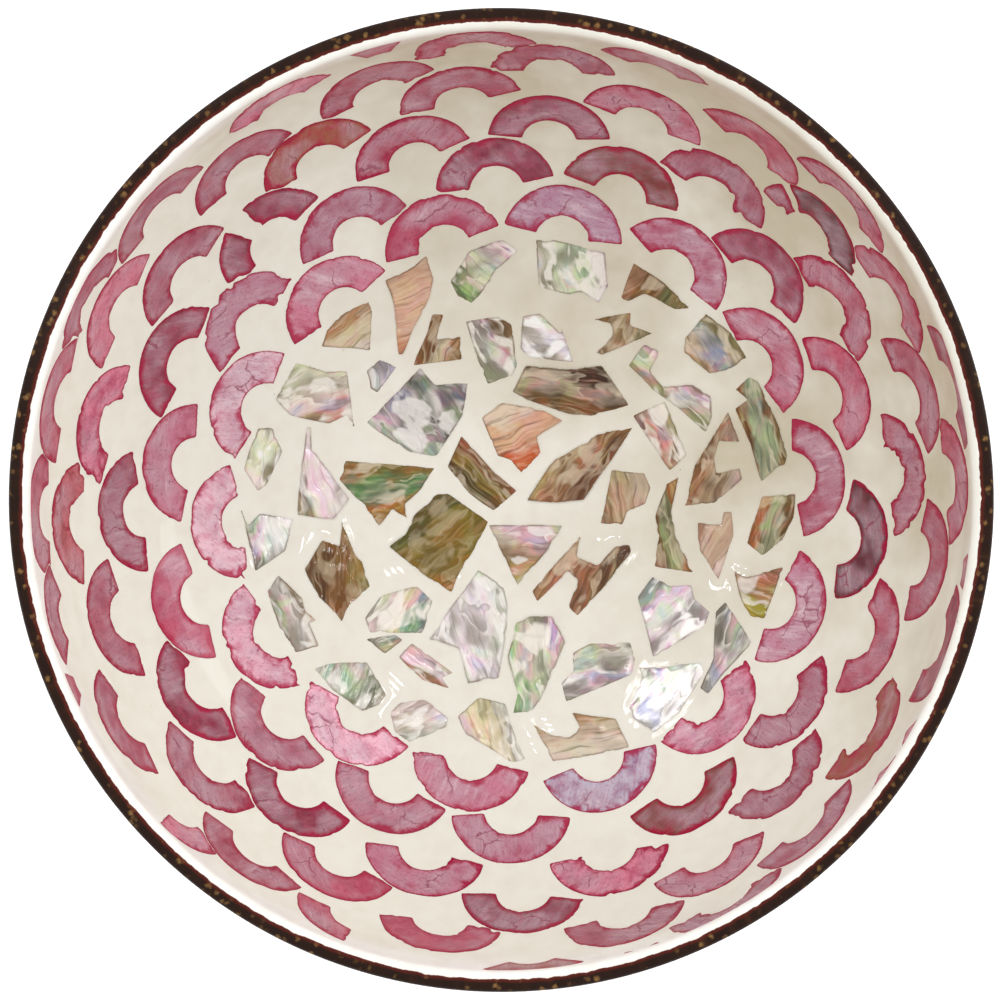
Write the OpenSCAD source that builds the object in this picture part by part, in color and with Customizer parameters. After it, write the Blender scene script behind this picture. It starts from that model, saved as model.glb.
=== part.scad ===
// Coconut shell bowl lined with a mosaic: dyed mother-of-pearl arches like fish scales up the
// wall and natural abalone fragments over the floor, set in a cream lacquer ground.
// The bowl stands on z = 0 with its mouth up. Its axis is the z axis.

/* [Bowl] */
// Outer diameter across the widest part, just below the rim
bowl_d = 135; // [110:1:160]
// Thickness of the rim seen from above, the shell and its lining together
rim_t = 3; // [2.2:0.1:4]
// Depth inside, from the rim to the finished floor
inner_depth = 47.3; // [38:0.1:60]
// Thickness of the wall where it turns up to the rim, the shell and its lining together
side_t = 4; // [3:0.1:5]
// How far the widest part lies below the rim
belly_drop = 2.5; // [0:0.1:6]
// Shell thickness under the floor before the flat foot is sanded
bottom_wall = 4.6; // [3:0.1:8]
// Shell thickness left under the floor at the sanded flat foot
foot_wall = 2.8; // [2:0.1:4]
// Rounding of the rim's outer edge
lip_r = 0.9; // [0.3:0.1:1]

/* [Lining] */
// Thickness of the lacquer ground, the tiles and the fragments
lining_t = 0.9; // [0.6:0.1:1.4]
// Seam between a tile or a fragment and its pocket in the ground
seam = 0.05; // [0.03:0.01:0.1]

/* [Tiles] */
// Radius of the round bite out of a tile's foot
bite_r = 4.0; // [2:0.1:5]
// How far a tile's feet stop short of a half circle
foot_gap = 1.1; // [0.6:0.1:3]
// Turn of the whole tile pattern about the axis, in degrees
row_turn = 5; // [-20:1:20]
// Compass angle of the pattern's middle, which lies a little off the bowl's axis, in degrees
pattern_turn = -42; // [-180:1:180]

/* [Hidden] */
$fn = 120;
// Shares of the depth: the inner wall's upturned curve, and the eye's place over the rim
side_share = 0.845666;
eye_shares = [0.072, 0.285, 6.427];
// Shares of the wall's length and of the first row's circle: where the first row's feet stand,
// and how far the pattern's middle lies off the axis
first_share = 0.48;
middle_share = 0.0784;
// A row step as a share of the wall from the first row's feet to the rim
row_share = 0.1625;
// A tile's radius as a share of half its room in the first row, and of a row step
room_share = 1.004;
step_share = 1.23;
// The bowl's middle and the first row's circle in the picture's steps
mid_px = [499.5, 500];
first_px = 298.8;
shell_brown = [0.17, 0.10, 0.07];
cream = [0.91, 0.89, 0.83];
rose = [0.71, 0.41, 0.49];
blush = [0.86, 0.62, 0.70];
crimson = [0.59, 0.14, 0.28];
silver = [0.80, 0.81, 0.82];
pearl = [0.88, 0.86, 0.84];
white_pearl = [0.93, 0.93, 0.92];
lilac = [0.80, 0.75, 0.82];
peach = [0.85, 0.68, 0.56];
tan = [0.73, 0.62, 0.48];
bronze = [0.45, 0.32, 0.20];
olive = [0.48, 0.45, 0.24];
teal = [0.42, 0.58, 0.54];
gold = [0.77, 0.68, 0.38];

// One wall curve: a bottom arc and a side arc that meet tangentially. Each is
// [side arc's centre radius, its level under the rim, side radius, bottom radius, bottom centre].
function wall(mouth_r, drop, side_r, deep) =
    let (c = mouth_r - side_r, e = deep - drop - side_r, h = (c * c - e * e) / (2 * e))
    [c, -drop, side_r, side_r + e + h, h - drop];
mouth_r = bowl_d / 2 - rim_t;
side_r = side_share * inner_depth;
inner = wall(mouth_r, 0, side_r, inner_depth);
glue = wall(mouth_r + lining_t, 0, side_r + lining_t, inner_depth + lining_t);
outer = wall(bowl_d / 2, belly_drop, side_r + side_t, inner_depth + lining_t + bottom_wall);
bowl_h = inner_depth + lining_t + foot_wall;
turn_in = atan2(inner[0], inner[4] - inner[1]);
floor_arc = inner[3] * turn_in * PI / 180;
wall_arc = floor_arc + inner[2] * (90 - turn_in) * PI / 180;

// The space inside a wall curve, below the rim, as a half outline
module wall_outline(w) {
    reach = 2 * w[3];
    away = atan2(w[0], w[4] - w[1]);
    intersection() {
        union() {
            intersection() {
                translate([0, w[4]]) circle(w[3]);
                polygon([[0, w[4]], [0, w[4] - reach],
                         [reach * sin(away), w[4] - reach * cos(away)]]);
            }
            translate([w[0], w[1]]) circle(w[2]);
        }
        translate([0, -reach]) square([reach, reach]);
    }
}

// The layer between the finished face and the shell that the tiles and the ground share
module lining_layer() {
    rotate_extrude() difference() {
        wall_outline(glue);
        wall_outline(inner);
    }
}

// A place on the finished face, from its distance along the wall and its compass angle:
// [place, slope of the wall]
function wall_slope(arc) = arc < floor_arc ? arc / inner[3] * 180 / PI
    : turn_in + (arc - floor_arc) / inner[2] * 180 / PI;
function wall_place(arc) = let (a = wall_slope(arc)) arc < floor_arc
    ? [inner[3] * sin(a), inner[4] - inner[3] * cos(a)]
    : [inner[0] + inner[2] * sin(a), inner[1] - inner[2] * cos(a)];

// A place in the pattern, as the wall would lie rolled out flat
function rolled(arc, turn) = middle_share * first_r * [cos(pattern_turn), sin(pattern_turn)]
    + arc * [cos(turn), sin(turn)];

// How far each tile strays from an even row: sideways as a share of the pitch, outwards as a
// share of the row step, leaning as a share of a right angle. Two more shares, where a tile is
// broken, say how much of the left and right halves is left.
row_1_shares = [
    [0.05, 0.20, 0], [0.04, 0.07, 0], [0.03, 0.23, 0.12], [-0.06, 0.07, 0],
    [-0.08, 0, -0.03], [-0.07, -0.15, 0.03], [-0.02, 0.07, 0.05],
    [-0.08, 0.12, -0.07, 1, 0.97], [-0.13, 0.07, -0.01, 0.97, 1], [-0.15, -0.25, -0.04],
    [-0.10, -0.27, 0], [0, -0.07, 0], [0.01, -0.08, 0], [0.01, 0.12, 0.02]];
row_2_shares = [
    [0.10, 0.24, -0.03], [0.02, 0.20, -0.02], [0.10, 0.29, 0], [-0.05, 0.11, -0.05],
    [0, -0.07, 0.03], [-0.05, -0.01, 0.04], [0, 0.29, 0.01], [-0.07, 0.33, 0],
    [-0.07, -0.03, -0.03], [-0.14, -0.27, 0.01], [-0.24, -0.15, 0], [0, 0.19, 0.01],
    [-0.06, 0.12, 0.03, 1, 0.85], [0.11, 0.27, 0.05]];
row_3_shares = [
    [0.09, 0.19, 0], [0.08, 0.19, 0.01], [0.11, 0.29, -0.05], [-0.06, 0.03, -0.07],
    [-0.07, 0.01, 0, 0.98, 0.06], [-0.04, -0.02, -0.16, -0.12, 0.96], [-0.12, 0.01, 0.01],
    [-0.19, 0.40, -0.09], [-0.05, 0.01, -0.07], [-0.17, -0.08, -0.07], [-0.28, 0.01, -0.05],
    [-0.10, 0.04, 0.08], [0.04, 0.25, 0], [0.03, 0.19, 0.01], [0.02, 0.40, -0.03]];
row_4_shares = [
    [0, 0.12, -0.05, 0.98, 0.55], [0, 0.12, -0.05, -0.65, 1.02], [0.11, 0.19, 0.03],
    [0.10, 0.29, -0.08], [-0.05, -0.08, -0.05], [-0.07, -0.04, 0.02, 0.96, 0.96],
    [-0.16, 0.29, 0.05], [-0.10, 0.19, -0.02], [-0.15, -0.05, -0.10], [-0.24, -0.04, 0],
    [-0.15, -0.15, 0.07], [-0.05, 0.13, 0.03, 1, 0.92], [0.07, 0.43, 0], [0.05, 0.32, 0.06],
    [-0.06, 0.32, -0.14]];
row_5_shares = [
    [0.05, -0.13, 0.05, 1, 0.82], [0.11, 0.23, -0.08], [0, 0.09, -0.15], [-0.20, -0.17, -0.05],
    [-0.26, 0.12, -0.07], [-0.14, 0, 0.05], [-0.09, 0.19, 0.03, 0.85, 0.9],
    [-0.16, 0, 0.04, 0.95, 0.95], [-0.10, -0.17, -0.04], [-0.10, -0.11, 0.04],
    [-0.02, 0.16, 0], [0.15, 0.73, 0.13], [-0.03, 0.25, -0.04], [-0.04, -0.07, -0.10]];
row_6_shares = [
    [0.12, 0.05, -0.03, 0.75, 0.75], [-0.01, 0.03, -0.10], [-0.04, 0.09, 0, 0.8, 0.85],
    [-0.26, -0.08, 0], [-0.25, 0.09, -0.08], [-0.17, -0.04, 0, 0.8, 0.5],
    [-0.10, -0.20, -0.10, 0.1, 0.95], [-0.02, -0.50, 0.10, 0.98, 0.1],
    [-0.11, -0.13, -0.03, 0.6, 0.65], [-0.07, -0.15, 0], [0.06, 0.03, -0.08, 0.75, 0.6],
    [0.02, -0.13, 0, 0.27, 0.33], [-0.06, 0.09, -0.08], [0, -0.31, 0]];
// The last row is cut short by the rim, and only some of its places hold a tile. The first
// share counts places along the row.
row_7_shares = [
    [0.94, -0.73, 0, 0.3, 0.3], [2.77, -0.73, 0], [3.80, -0.70, 0], [4.63, -0.77, 0, 0.2, 0.3],
    [7.95, -0.90, 0, 0.42, 0.42]];
row_shares = [row_1_shares, row_2_shares, row_3_shares, row_4_shares, row_5_shares,
              row_6_shares, row_7_shares];
// After which of its tiles a row holds the other half of a tile that is broken in two
whole = len(row_1_shares);
row_breaks = [whole, whole, 4, 0, whole, whole, whole];
last_row = len(row_shares) - 1;

pitch = 360 / whole;
first_arc = first_share * wall_arc;
first_r = wall_place(first_arc)[0];
row_step = row_share * (wall_arc - first_arc);
tile_r = min(room_share * first_r * PI / whole, step_share * row_step);
tile_reach = 90 - asin(foot_gap / tile_r);
over = bowl_d / 50;
px = first_r / first_px;
eye = inner_depth * eye_shares;

// The fragments' outlines as seen by the eye over the bowl, in picture steps from the left and
// from the top
// A long peach and white striped shard
peach_shard_px = [[385, 276], [408, 266], [427, 251], [433, 275], [430, 292], [413, 326],
    [403, 349], [398, 350], [394, 304]];
// A tan quarter round
tan_quarter_px = [[321, 342], [326, 326], [340, 310], [369, 297], [372, 308], [370, 346]];
// A pale boot shape with a green corner
pale_boot_px = [[450, 277], [468, 247], [503, 235], [518, 247], [500, 262], [480, 290],
    [471, 300], [458, 293]];
// A pearl with a brown edge
brown_edged_pearl_px = [[412, 361], [427, 326], [432, 310], [443, 310], [436, 335], [460, 332],
    [462, 355]];
// A pearl shifting from green to violet
green_violet_pearl_px = [[465, 317], [497, 312], [511, 320], [517, 360], [512, 371], [487, 380],
    [475, 349]];
// A small lilac chip
small_lilac_px = [[366, 366], [379, 355], [397, 362], [377, 388], [370, 384]];
// A bright, notched pearl
bright_pearl_px = [[275, 395], [296, 358], [326, 367], [347, 366], [354, 423], [346, 411],
    [328, 419], [290, 411]];
// The large silver-grey shield
silver_shield_px = [[366, 418], [391, 393], [420, 363], [435, 380], [468, 378], [462, 411],
    [436, 452], [409, 447], [382, 430]];
// A white oval
white_oval_px = [[258, 423], [272, 423], [282, 447], [266, 480], [257, 487], [243, 465],
    [248, 447]];
// A pink and white spear point
pink_spear_px = [[306, 422], [311, 422], [312, 445], [335, 476], [349, 494], [333, 515],
    [296, 511], [302, 449]];
// A teal, green and gold hook
teal_gold_px = [[345, 456], [409, 461], [435, 463], [420, 485], [404, 500], [407, 514],
    [392, 505], [378, 522], [362, 500], [338, 475]];
// The large olive piece
large_olive_px = [[388, 542], [404, 530], [414, 510], [436, 489], [448, 489], [488, 517],
    [477, 540], [461, 565], [451, 588], [429, 575]];
// A brown piece with a gold stripe
brown_gold_stripe_px = [[461, 431], [494, 467], [516, 486], [493, 507], [469, 489], [447, 462]];
// An orange and white striped piece
orange_striped_px = [[481, 413], [500, 398], [540, 404], [562, 416], [536, 432], [540, 448],
    [521, 469], [510, 455], [497, 451]];
// A pale, nearly square piece
pale_square_px = [[535, 236], [552, 236], [604, 249], [607, 282], [598, 299], [581, 288],
    [567, 290], [538, 283]];
// A brown and green shoe shape
brown_green_shoe_px = [[632, 258], [664, 279], [688, 304], [674, 305], [644, 290], [627, 297],
    [620, 294]];
// A ribbed white piece
ribbed_white_px = [[521, 311], [540, 309], [560, 329], [561, 323], [573, 358], [530, 354],
    [520, 344]];
// A star with long points
star_px = [[593, 315], [630, 308], [629, 321], [652, 329], [601, 351], [594, 349], [612, 331],
    [610, 319]];
// A blue pearl kite with a dark dot
blue_kite_px = [[684, 333], [704, 309], [729, 328], [746, 354], [729, 365], [709, 369],
    [683, 348]];
// A curved, necked pearl
curved_neck_px = [[643, 339], [659, 347], [650, 366], [662, 382], [691, 380], [710, 392],
    [711, 413], [705, 428], [684, 409], [652, 385], [627, 361]];
// A brown and pearl boat shape
brown_boat_px = [[511, 387], [525, 361], [567, 365], [601, 361], [629, 401], [592, 411],
    [570, 410], [527, 395]];
// A brown-bronze leaf
bronze_leaf_px = [[526, 496], [552, 456], [584, 438], [600, 427], [632, 423], [607, 461],
    [583, 495], [555, 498]];
// A slanted pink and green piece
pink_green_slant_px = [[632, 411], [664, 396], [686, 450], [669, 466], [649, 436]];
// A brown crescent
brown_crescent_px = [[727, 407], [739, 437], [718, 436], [713, 453], [716, 468], [739, 463],
    [742, 474], [714, 498], [684, 501], [694, 461]];
// A brown and green striped bracket
striped_bracket_px = [[734, 385], [749, 371], [757, 377], [779, 425], [786, 450], [784, 460],
    [777, 462], [760, 477], [750, 440], [734, 404], [747, 395]];
// A tan tab
tan_tab_px = [[611, 465], [644, 468], [650, 483], [645, 499], [627, 507], [622, 520], [600, 519],
    [604, 500]];
// A thin brown stalk
thin_stalk_px = [[678, 472], [672, 505], [675, 530], [693, 568], [654, 562], [658, 530],
    [654, 512], [665, 480]];
// A brown and green striped piece
brown_green_stripe_px = [[761, 491], [795, 489], [793, 512], [782, 535], [762, 551], [746, 538]];
// A pink and tan wedge
pink_tan_wedge_px = [[696, 517], [721, 520], [723, 507], [731, 507], [733, 530], [718, 575],
    [699, 545]];
// A yellow-brown triangle
yellow_brown_triangle_px = [[733, 565], [746, 572], [783, 562], [764, 614], [751, 612],
    [740, 597]];
// A lilac and tan triangle
lilac_tan_triangle_px = [[488, 520], [563, 520], [546, 547], [530, 565], [517, 582], [507, 560]];
// A brown wishbone
wishbone_px = [[580, 531], [576, 552], [597, 561], [616, 541], [629, 540], [631, 547],
    [604, 582], [577, 612], [568, 602], [578, 575], [567, 567], [537, 597], [530, 587],
    [557, 557]];
// A silver-white shield
silver_white_shield_px = [[652, 571], [669, 580], [691, 580], [694, 594], [710, 607], [705, 622],
    [653, 653], [645, 622], [637, 592]];
// A grey, bent strip
grey_bent_strip_px = [[725, 596], [752, 638], [726, 667], [708, 690], [700, 684], [713, 654],
    [715, 607]];
// A grey rectangle
grey_rectangle_px = [[572, 649], [590, 639], [630, 638], [635, 654], [632, 670], [566, 698],
    [561, 679], [573, 667]];
// A bright white block
bright_block_px = [[639, 664], [701, 658], [704, 669], [679, 709], [654, 729], [632, 714],
    [629, 704], [642, 674]];
// A tan and pink anvil
tan_anvil_px = [[533, 721], [552, 732], [570, 734], [580, 724], [572, 709], [616, 715],
    [630, 744], [552, 759]];
// A green pearl flag
green_flag_px = [[515, 619], [530, 612], [552, 612], [565, 637], [552, 669], [540, 696],
    [530, 709], [512, 710], [517, 691], [507, 654]];
// The large white and lilac slab
large_lilac_slab_px = [[478, 565], [503, 582], [507, 600], [506, 629], [498, 674], [467, 680],
    [458, 644], [428, 635], [451, 602]];
// A pale peach and teal block
pale_peach_block_px = [[379, 592], [416, 580], [432, 597], [422, 629], [369, 629], [364, 614]];
// A teal sliver
teal_sliver_px = [[365, 635], [394, 630], [402, 636], [384, 650]];
// A silver piece with a brown point
brown_point_px = [[411, 639], [453, 669], [441, 674], [449, 685], [421, 676], [397, 653]];
// A green-grey rounded piece
green_grey_shell_px = [[313, 665], [327, 659], [366, 658], [386, 691], [379, 701], [361, 708],
    [331, 686]];
// A pale, rounded piece
pale_blob_px = [[389, 709], [399, 699], [424, 696], [448, 714], [446, 724], [409, 739],
    [394, 729]];
// A yellow-white spade
yellow_spade_px = [[456, 713], [478, 693], [505, 700], [517, 739], [525, 756], [512, 760],
    [496, 749], [465, 731]];
// A silver and gold boomerang
gold_boomerang_px = [[277, 571], [302, 594], [304, 607], [315, 616], [308, 619], [318, 642],
    [294, 649], [277, 622], [266, 587]];
// An olive-brown flame
olive_flame_px = [[341, 517], [353, 547], [361, 557], [369, 582], [346, 604], [341, 618],
    [317, 592], [303, 565], [321, 535], [339, 542]];
// A silver wedge
silver_wedge_px = [[240, 505], [247, 520], [259, 509], [293, 514], [284, 547], [254, 567],
    [252, 555]];
all_px = [peach_shard_px, tan_quarter_px, pale_boot_px, brown_edged_pearl_px,
    green_violet_pearl_px, small_lilac_px, bright_pearl_px, silver_shield_px, white_oval_px,
    pink_spear_px, teal_gold_px, large_olive_px, brown_gold_stripe_px, orange_striped_px,
    pale_square_px, brown_green_shoe_px, ribbed_white_px, star_px, blue_kite_px, curved_neck_px,
    brown_boat_px, bronze_leaf_px, pink_green_slant_px, brown_crescent_px, striped_bracket_px,
    tan_tab_px, thin_stalk_px, brown_green_stripe_px, pink_tan_wedge_px,
    yellow_brown_triangle_px, lilac_tan_triangle_px, wishbone_px, silver_white_shield_px,
    grey_bent_strip_px, grey_rectangle_px, bright_block_px, tan_anvil_px, green_flag_px,
    large_lilac_slab_px, pale_peach_block_px, teal_sliver_px, brown_point_px,
    green_grey_shell_px, pale_blob_px, yellow_spade_px, gold_boomerang_px, olive_flame_px,
    silver_wedge_px];

// An arch lying flat: its crown points to -x, and left and right say how much of each half
// there is
module arch(outer_r, inner_r, left_share, right_share) {
    from = -left_share * tile_reach;
    step = (left_share + right_share) * tile_reach / 4;
    far = 1.5 * outer_r;
    intersection() {
        difference() {
            circle(outer_r);
            circle(inner_r);
        }
        polygon(concat([[0, 0]],
            [for (i = [0:4]) far * [-cos(from + i * step), sin(from + i * step)]]));
    }
}

function tile_place(row, i) = row == last_row ? 0 : i - (i > row_breaks[row] ? 1 : 0);
function tile_turn(row, i) =
    row_turn + (tile_place(row, i) + row / 2 + row_shares[row][i][0]) * pitch;
function tile_flat(row, i) =
    rolled(first_arc + (row + row_shares[row][i][1]) * row_step, tile_turn(row, i));

// A short prism through the lining in the shape of one tile, wider all round by grown
module tile_prism(row, i, grown) {
    stray = row_shares[row][i];
    turn = tile_turn(row, i);
    flat = tile_flat(row, i);
    arc = norm(flat);
    round = atan2(flat[1], flat[0]);
    spot = wall_place(arc);
    edge = grown / tile_r * 180 / PI / tile_reach;
    left = len(stray) > 3 ? stray[3] : 1;
    right = len(stray) > 3 ? stray[4] : 1;
    rotate([0, 0, round]) translate([spot[0], 0, bowl_h + spot[1]])
        rotate([0, 180 - wall_slope(arc), 0]) rotate([0, 0, stray[2] * 90 + round - turn])
        translate([0, 0, -over]) linear_extrude(2 * over)
        arch(tile_r + grown, bite_r - grown, left + edge, right + edge);
}

// Where the line of sight through a picture place meets the finished floor
function on_floor(p) = let (
    way = [(p[0] - mid_px[0]) * px, (mid_px[1] - p[1]) * px, 0] - eye,
    from = eye - [0, 0, inner[4]], a = way * way, b = way * from,
    c = from * from - inner[3] * inner[3])
    eye + way * (sqrt(b * b - a * c) - b) / a;
function unit(v) = v / norm(v);
function middle(v) = [for (p = v) 1] * v / len(v);
function around(v) = [for (i = [0:len(v) - 1]) let (a = v[i], b = v[(i + 1) % len(v)])
    a[0] * b[1] - a[1] * b[0]] * [for (p = v) 1];
// An outline with every side moved outwards by grown
function wider(v, grown) = let (n = len(v), side = sign(around(v)))
    [for (i = [0:n - 1]) let (
        a = unit(v[i] - v[(i + n - 1) % n]), b = unit(v[(i + 1) % n] - v[i]),
        out = [a[1] + b[1], -a[0] - b[0]])
        v[i] + side * grown * out / max(1 + a * b, 1 / 3)];

// A short prism through the lining in the shape of one fragment, wider all round by grown
module fragment_prism(outline_px, grown) {
    spot = on_floor(middle(outline_px));
    out = unit(spot - [0, 0, inner[4]]);
    ax = unit([1, 0, 0] - out[0] * out);
    ay = cross(out, ax);
    flat = [for (p = outline_px) let (q = on_floor(p) - spot) [q * ax, q * ay]];
    multmatrix([[ax[0], ay[0], out[0], spot[0]], [ax[1], ay[1], out[1], spot[1]],
                [ax[2], ay[2], out[2], spot[2] + bowl_h], [0, 0, 0, 1]])
        translate([0, 0, -over]) linear_extrude(2 * over) polygon(wider(flat, grown));
}

// The half coconut: sanded outside, flat at the foot, rounded at the rim's outer edge
module coconut_shell() {
    edge_r = outer[0] + sqrt(pow(outer[2] - lip_r, 2) - pow(belly_drop - lip_r, 2));
    tip = atan2(belly_drop - lip_r, edge_r - outer[0]);
    color(shell_brown) translate([0, 0, bowl_h]) rotate_extrude() difference() {
        intersection() {
            wall_outline(outer);
            translate([0, -bowl_h]) square([bowl_d, bowl_h]);
        }
        wall_outline(glue);
        difference() {
            polygon([[edge_r, -lip_r], [edge_r, over], [edge_r + over, over],
                     [edge_r + over, over * sin(tip) - lip_r]]);
            translate([edge_r, -lip_r]) circle(lip_r);
        }
    }
}

// The cream lacquer ground that fills the lining between all the tiles and fragments
module lacquer_ground() {
    color(cream) difference() {
        translate([0, 0, bowl_h]) lining_layer();
        for (row = [0:len(row_shares) - 1], i = [0:len(row_shares[row]) - 1])
            tile_prism(row, i, seam);
        for (outline_px = all_px) fragment_prism(outline_px, seam);
    }
}

// One row of separate mother-of-pearl arches, each trimmed to fit against the rows set before
module tile_row(row, tone) {
    color(tone) for (i = [0:len(row_shares[row]) - 1]) difference() {
        intersection() {
            translate([0, 0, bowl_h]) lining_layer();
            tile_prism(row, i, 0);
        }
        if (row > 0) for (before = [max(row - 2, 0):row - 1])
            for (k = [0:len(row_shares[before]) - 1])
                if (norm(tile_flat(row, i) - tile_flat(before, k)) < 2.6 * tile_r)
                    tile_prism(before, k, seam);
    }
}

// One abalone fragment
module abalone(outline_px, tone) {
    color(tone) intersection() {
        translate([0, 0, bowl_h]) lining_layer();
        fragment_prism(outline_px, 0);
    }
}

coconut_shell();
lacquer_ground();
tile_row(0, blush);  // tile_row_1
tile_row(1, rose);  // tile_row_2
tile_row(2, rose);  // tile_row_3
tile_row(3, rose);  // tile_row_4
tile_row(4, rose);  // tile_row_5
tile_row(5, rose);  // tile_row_6
tile_row(6, crimson);  // tile_row_7
abalone(peach_shard_px, peach);  // abalone_peach_shard
abalone(tan_quarter_px, tan);  // abalone_tan_quarter
abalone(pale_boot_px, pearl);  // abalone_pale_boot
abalone(brown_edged_pearl_px, pearl);  // abalone_brown_edged_pearl
abalone(green_violet_pearl_px, pearl);  // abalone_green_violet_pearl
abalone(small_lilac_px, lilac);  // abalone_small_lilac
abalone(bright_pearl_px, white_pearl);  // abalone_bright_pearl
abalone(silver_shield_px, silver);  // abalone_silver_shield
abalone(white_oval_px, white_pearl);  // abalone_white_oval
abalone(pink_spear_px, lilac);  // abalone_pink_spear
abalone(teal_gold_px, teal);  // abalone_teal_gold
abalone(large_olive_px, olive);  // abalone_large_olive
abalone(brown_gold_stripe_px, bronze);  // abalone_brown_gold_stripe
abalone(orange_striped_px, peach);  // abalone_orange_striped
abalone(pale_square_px, pearl);  // abalone_pale_square
abalone(brown_green_shoe_px, olive);  // abalone_brown_green_shoe
abalone(ribbed_white_px, white_pearl);  // abalone_ribbed_white
abalone(star_px, bronze);  // abalone_star
abalone(blue_kite_px, silver);  // abalone_blue_kite
abalone(curved_neck_px, pearl);  // abalone_curved_neck
abalone(brown_boat_px, bronze);  // abalone_brown_boat
abalone(bronze_leaf_px, bronze);  // abalone_bronze_leaf
abalone(pink_green_slant_px, lilac);  // abalone_pink_green_slant
abalone(brown_crescent_px, bronze);  // abalone_brown_crescent
abalone(striped_bracket_px, bronze);  // abalone_striped_bracket
abalone(tan_tab_px, tan);  // abalone_tan_tab
abalone(thin_stalk_px, bronze);  // abalone_thin_stalk
abalone(brown_green_stripe_px, teal);  // abalone_brown_green_stripe
abalone(pink_tan_wedge_px, peach);  // abalone_pink_tan_wedge
abalone(yellow_brown_triangle_px, gold);  // abalone_yellow_brown_triangle
abalone(lilac_tan_triangle_px, lilac);  // abalone_lilac_tan_triangle
abalone(wishbone_px, bronze);  // abalone_wishbone
abalone(silver_white_shield_px, white_pearl);  // abalone_silver_white_shield
abalone(grey_bent_strip_px, silver);  // abalone_grey_bent_strip
abalone(grey_rectangle_px, silver);  // abalone_grey_rectangle
abalone(bright_block_px, white_pearl);  // abalone_bright_block
abalone(tan_anvil_px, peach);  // abalone_tan_anvil
abalone(green_flag_px, gold);  // abalone_green_flag
abalone(large_lilac_slab_px, lilac);  // abalone_large_lilac_slab
abalone(pale_peach_block_px, peach);  // abalone_pale_peach_block
abalone(teal_sliver_px, teal);  // abalone_teal_sliver
abalone(brown_point_px, silver);  // abalone_brown_point
abalone(green_grey_shell_px, silver);  // abalone_green_grey_shell
abalone(pale_blob_px, pearl);  // abalone_pale_blob
abalone(yellow_spade_px, gold);  // abalone_yellow_spade
abalone(gold_boomerang_px, gold);  // abalone_gold_boomerang
abalone(olive_flame_px, olive);  // abalone_olive_flame
abalone(silver_wedge_px, silver);  // abalone_silver_wedge
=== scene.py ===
import math
import random

import bmesh
import bpy
import numpy as np
from mathutils import Matrix, Vector, kdtree, noise


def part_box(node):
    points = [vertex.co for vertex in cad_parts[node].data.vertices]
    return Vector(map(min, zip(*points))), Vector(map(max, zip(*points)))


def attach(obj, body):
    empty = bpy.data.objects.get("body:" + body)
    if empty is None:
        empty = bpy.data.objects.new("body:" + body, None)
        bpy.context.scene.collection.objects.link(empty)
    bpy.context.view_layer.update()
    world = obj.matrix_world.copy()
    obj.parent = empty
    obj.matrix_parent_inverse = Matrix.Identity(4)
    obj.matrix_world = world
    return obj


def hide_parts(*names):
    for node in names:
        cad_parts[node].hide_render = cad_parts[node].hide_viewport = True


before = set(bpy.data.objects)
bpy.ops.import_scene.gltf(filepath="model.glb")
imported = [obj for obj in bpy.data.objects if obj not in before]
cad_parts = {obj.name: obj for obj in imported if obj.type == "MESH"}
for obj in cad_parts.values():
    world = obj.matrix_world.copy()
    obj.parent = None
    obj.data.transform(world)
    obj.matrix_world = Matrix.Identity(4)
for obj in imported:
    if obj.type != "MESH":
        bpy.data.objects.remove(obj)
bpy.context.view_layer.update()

# The body of the bowl is half of a mature coconut's shell. Husk and flesh are scraped off, the
# outside is sanded and lacquered, the foot is ground flat and the rim's edge is eased. The shell
# is dark brown, with paler fibre scars that run from pole to pole.
MM = 0.001
rim_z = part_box("coconut_shell")[1].z
mouth_r, belly_r = 64.5 * MM, 67.5 * MM
inner_depth, lining_t, bottom_wall = 47.3 * MM, 0.9 * MM, 4.6 * MM
side_inner_r, side_outer_r, belly_drop = 40 * MM, 44 * MM, 2.5 * MM
lip_r = 0.9 * MM


def wall_arcs(mouth, drop, side, deep):
    """One wall of the bowl: a side arc and a bottom arc that meet smoothly."""
    c, e = mouth - side, deep - drop - side
    h = (c * c - e * e) / (2 * e)
    return {
        "side_at": Vector((c, 0, rim_z - drop)),
        "side_r": side,
        "floor_at": Vector((0, 0, rim_z + h - drop)),
        "floor_r": side + e + h,
        "join": math.atan2(c, h),
    }


def turn_edge(bm, vert, centre, angle, steps):
    """Sweeps a profile's last vertex along an arc about a point of the profile's plane."""
    swept = bmesh.ops.spin(bm, geom=[vert], cent=centre, axis=(0, -1, 0), angle=angle, steps=steps)
    return next(g for g in swept["geom_last"] if isinstance(g, bmesh.types.BMVert))


def lathe(bm, steps, same_point=0.002 * MM):
    """Turns the profile about the bowl's axis and closes the seam and the poles."""
    bmesh.ops.spin(
        bm,
        geom=bm.verts[:] + bm.edges[:],
        cent=(0, 0, 0),
        axis=(0, 0, 1),
        angle=2 * math.pi,
        steps=steps,
        use_merge=True,
    )
    bmesh.ops.remove_doubles(bm, verts=bm.verts, dist=same_point)
    bmesh.ops.recalc_face_normals(bm, faces=bm.faces)


def put_in_place(bm, name, finish, slot, *nodes, sharp=40):
    """Makes the finished piece, which stands for its CAD nodes and rides on the bowl."""
    mesh = bpy.data.meshes.new(name)
    bm.to_mesh(mesh)
    bm.free()
    mesh.materials.append(finish)
    mesh.shade_smooth()
    mesh.set_sharp_from_angle(angle=math.radians(sharp))
    piece = bpy.data.objects.new(name, mesh)
    bpy.context.scene.collection.objects.link(piece)
    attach(piece, "root")
    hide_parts(*nodes)


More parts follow.
